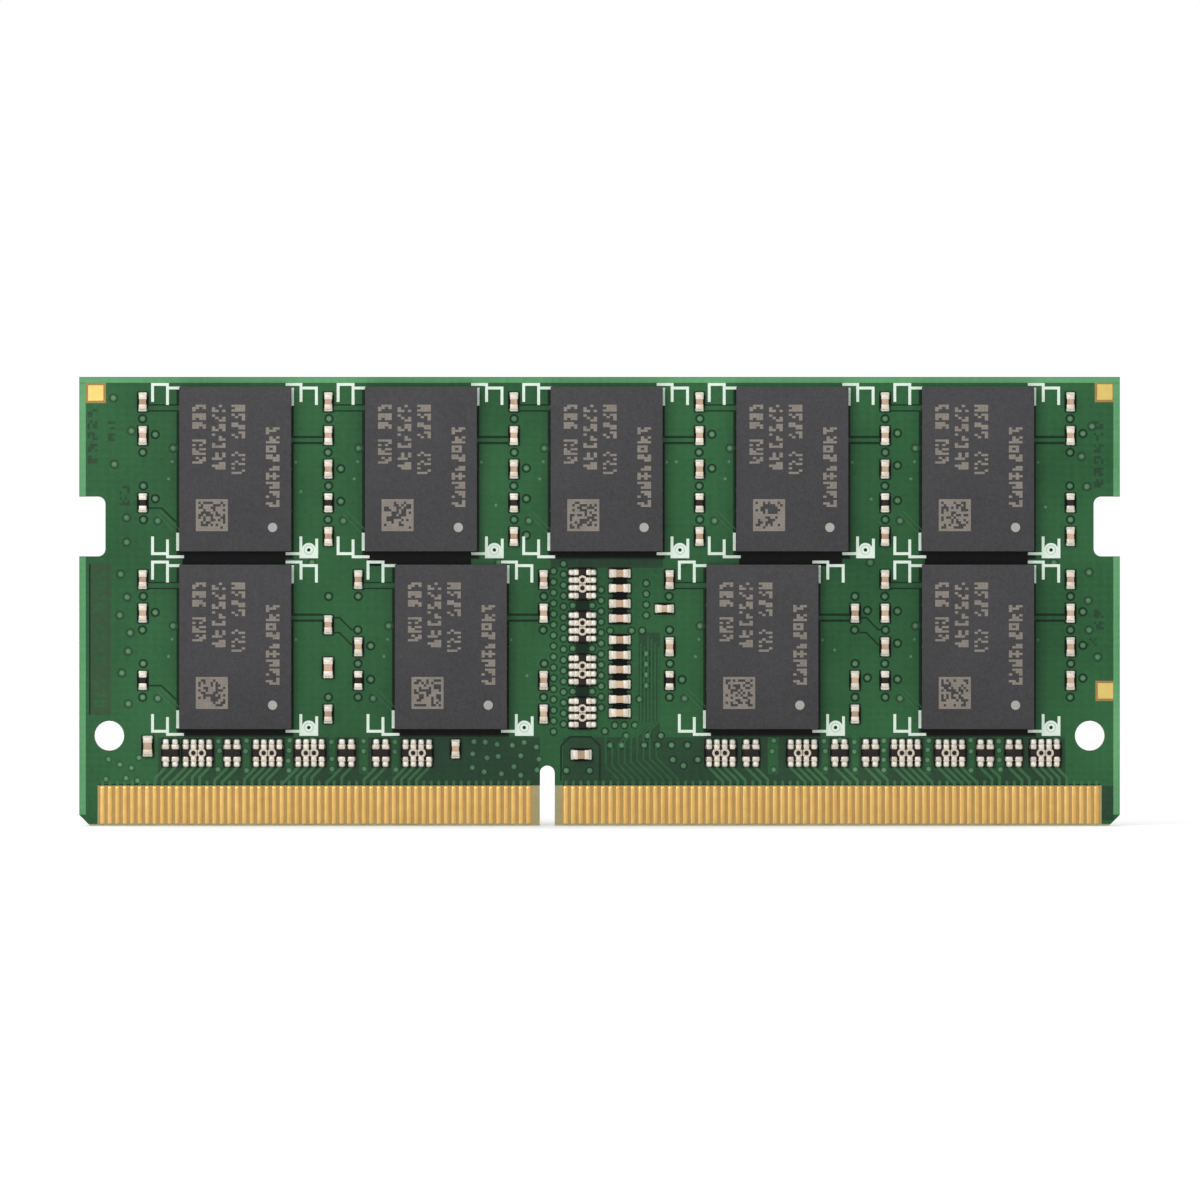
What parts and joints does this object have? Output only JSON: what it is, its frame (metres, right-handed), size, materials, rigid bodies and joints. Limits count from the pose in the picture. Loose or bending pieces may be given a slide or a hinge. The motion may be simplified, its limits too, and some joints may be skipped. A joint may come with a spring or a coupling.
{
  "type": "memory module",
  "caption": "Slim green circuit board with black memory packages on both faces, a row of gold edge contacts with a key slot, and a latch notch in each side.",
  "frame": {"origin": "middle of the board's contact edge, half way through the board's thickness", "axes": "+X along the board towards the longer contact field, +Z from the contact edge to the opposite long edge, -Y out of the front face (the one with the resistor networks)"},
  "size_m": [0.0696, 0.0034, 0.03],
  "materials": {
    "solder_mask": "green solder mask over laminate, satin to gloss",
    "contact_gold": "gold plating on copper, fine brushed",
    "mould_compound": "matt dark moulding compound with fine speckle",
    "package_substrate": "thin green laminate, sawn edge",
    "network_ceramic": "black glazed ceramic with tinned ends",
    "capacitor_ceramic": "fired tan ceramic",
    "solder_tin": "reflowed solder and tinned ends, satin",
    "silkscreen": "matt white printed ink",
    "bare_laminate": "glass fibre laminate without solder mask"
  },
  "bodies": {
    "root": {"circuit_board": "solder_mask", "contacts_front_left": "contact_gold", "contacts_front_right": "contact_gold", "contacts_rear_left": "contact_gold", "contacts_rear_right": "contact_gold", "dram_mould_front_upper_1": "mould_compound", "dram_mould_front_upper_2": "mould_compound", "dram_mould_front_upper_3": "mould_compound", "dram_mould_front_upper_4": "mould_compound", "dram_mould_front_upper_5": "mould_compound", "dram_mould_front_lower_1": "mould_compound", "dram_mould_front_lower_2": "mould_compound", "dram_mould_front_lower_3": "mould_compound", "dram_mould_front_lower_4": "mould_compound", "dram_mould_rear_upper_1": "mould_compound", "dram_mould_rear_upper_2": "mould_compound", "dram_mould_rear_upper_3": "mould_compound", "dram_mould_rear_upper_4": "mould_compound", "dram_mould_rear_upper_5": "mould_compound", "dram_mould_rear_lower_1": "mould_compound", "dram_mould_rear_lower_2": "mould_compound", "dram_mould_rear_lower_3": "mould_compound", "dram_mould_rear_lower_4": "mould_compound", "dram_substrate_front_upper_1": "package_substrate", "dram_substrate_front_upper_2": "package_substrate", "dram_substrate_front_upper_3": "package_substrate", "dram_substrate_front_upper_4": "package_substrate", "dram_substrate_front_upper_5": "package_substrate", "dram_substrate_front_lower_1": "package_substrate", "dram_substrate_front_lower_2": "package_substrate", "dram_substrate_front_lower_3": "package_substrate", "dram_substrate_front_lower_4": "package_substrate", "dram_substrate_rear_upper_1": "package_substrate", "dram_substrate_rear_upper_2": "package_substrate", "dram_substrate_rear_upper_3": "package_substrate", "dram_substrate_rear_upper_4": "package_substrate", "dram_substrate_rear_upper_5": "package_substrate", "dram_substrate_rear_lower_1": "package_substrate", "dram_substrate_rear_lower_2": "package_substrate", "dram_substrate_rear_lower_3": "package_substrate", "dram_substrate_rear_lower_4": "package_substrate", "resistor_network_left_1": "network_ceramic", "resistor_network_left_2": "network_ceramic", "resistor_network_left_3": "network_ceramic", "resistor_network_left_4": "network_ceramic", "resistor_network_left_5": "network_ceramic", "resistor_network_left_6": "network_ceramic", "resistor_network_left_7": "network_ceramic", "resistor_network_left_8": "network_ceramic", "resistor_network_right_1": "network_ceramic", "resistor_network_right_2": "network_ceramic", "resistor_network_right_3": "network_ceramic", "resistor_network_right_4": "network_ceramic", "resistor_network_right_5": "network_ceramic", "resistor_network_right_6": "network_ceramic", "resistor_network_right_7": "network_ceramic", "resistor_network_right_8": "network_ceramic", "resistor_network_right_9": "network_ceramic", "resistor_network_right_10": "network_ceramic", "configuration_memory_sensor": "mould_compound"}
  },
  "joints": []
}
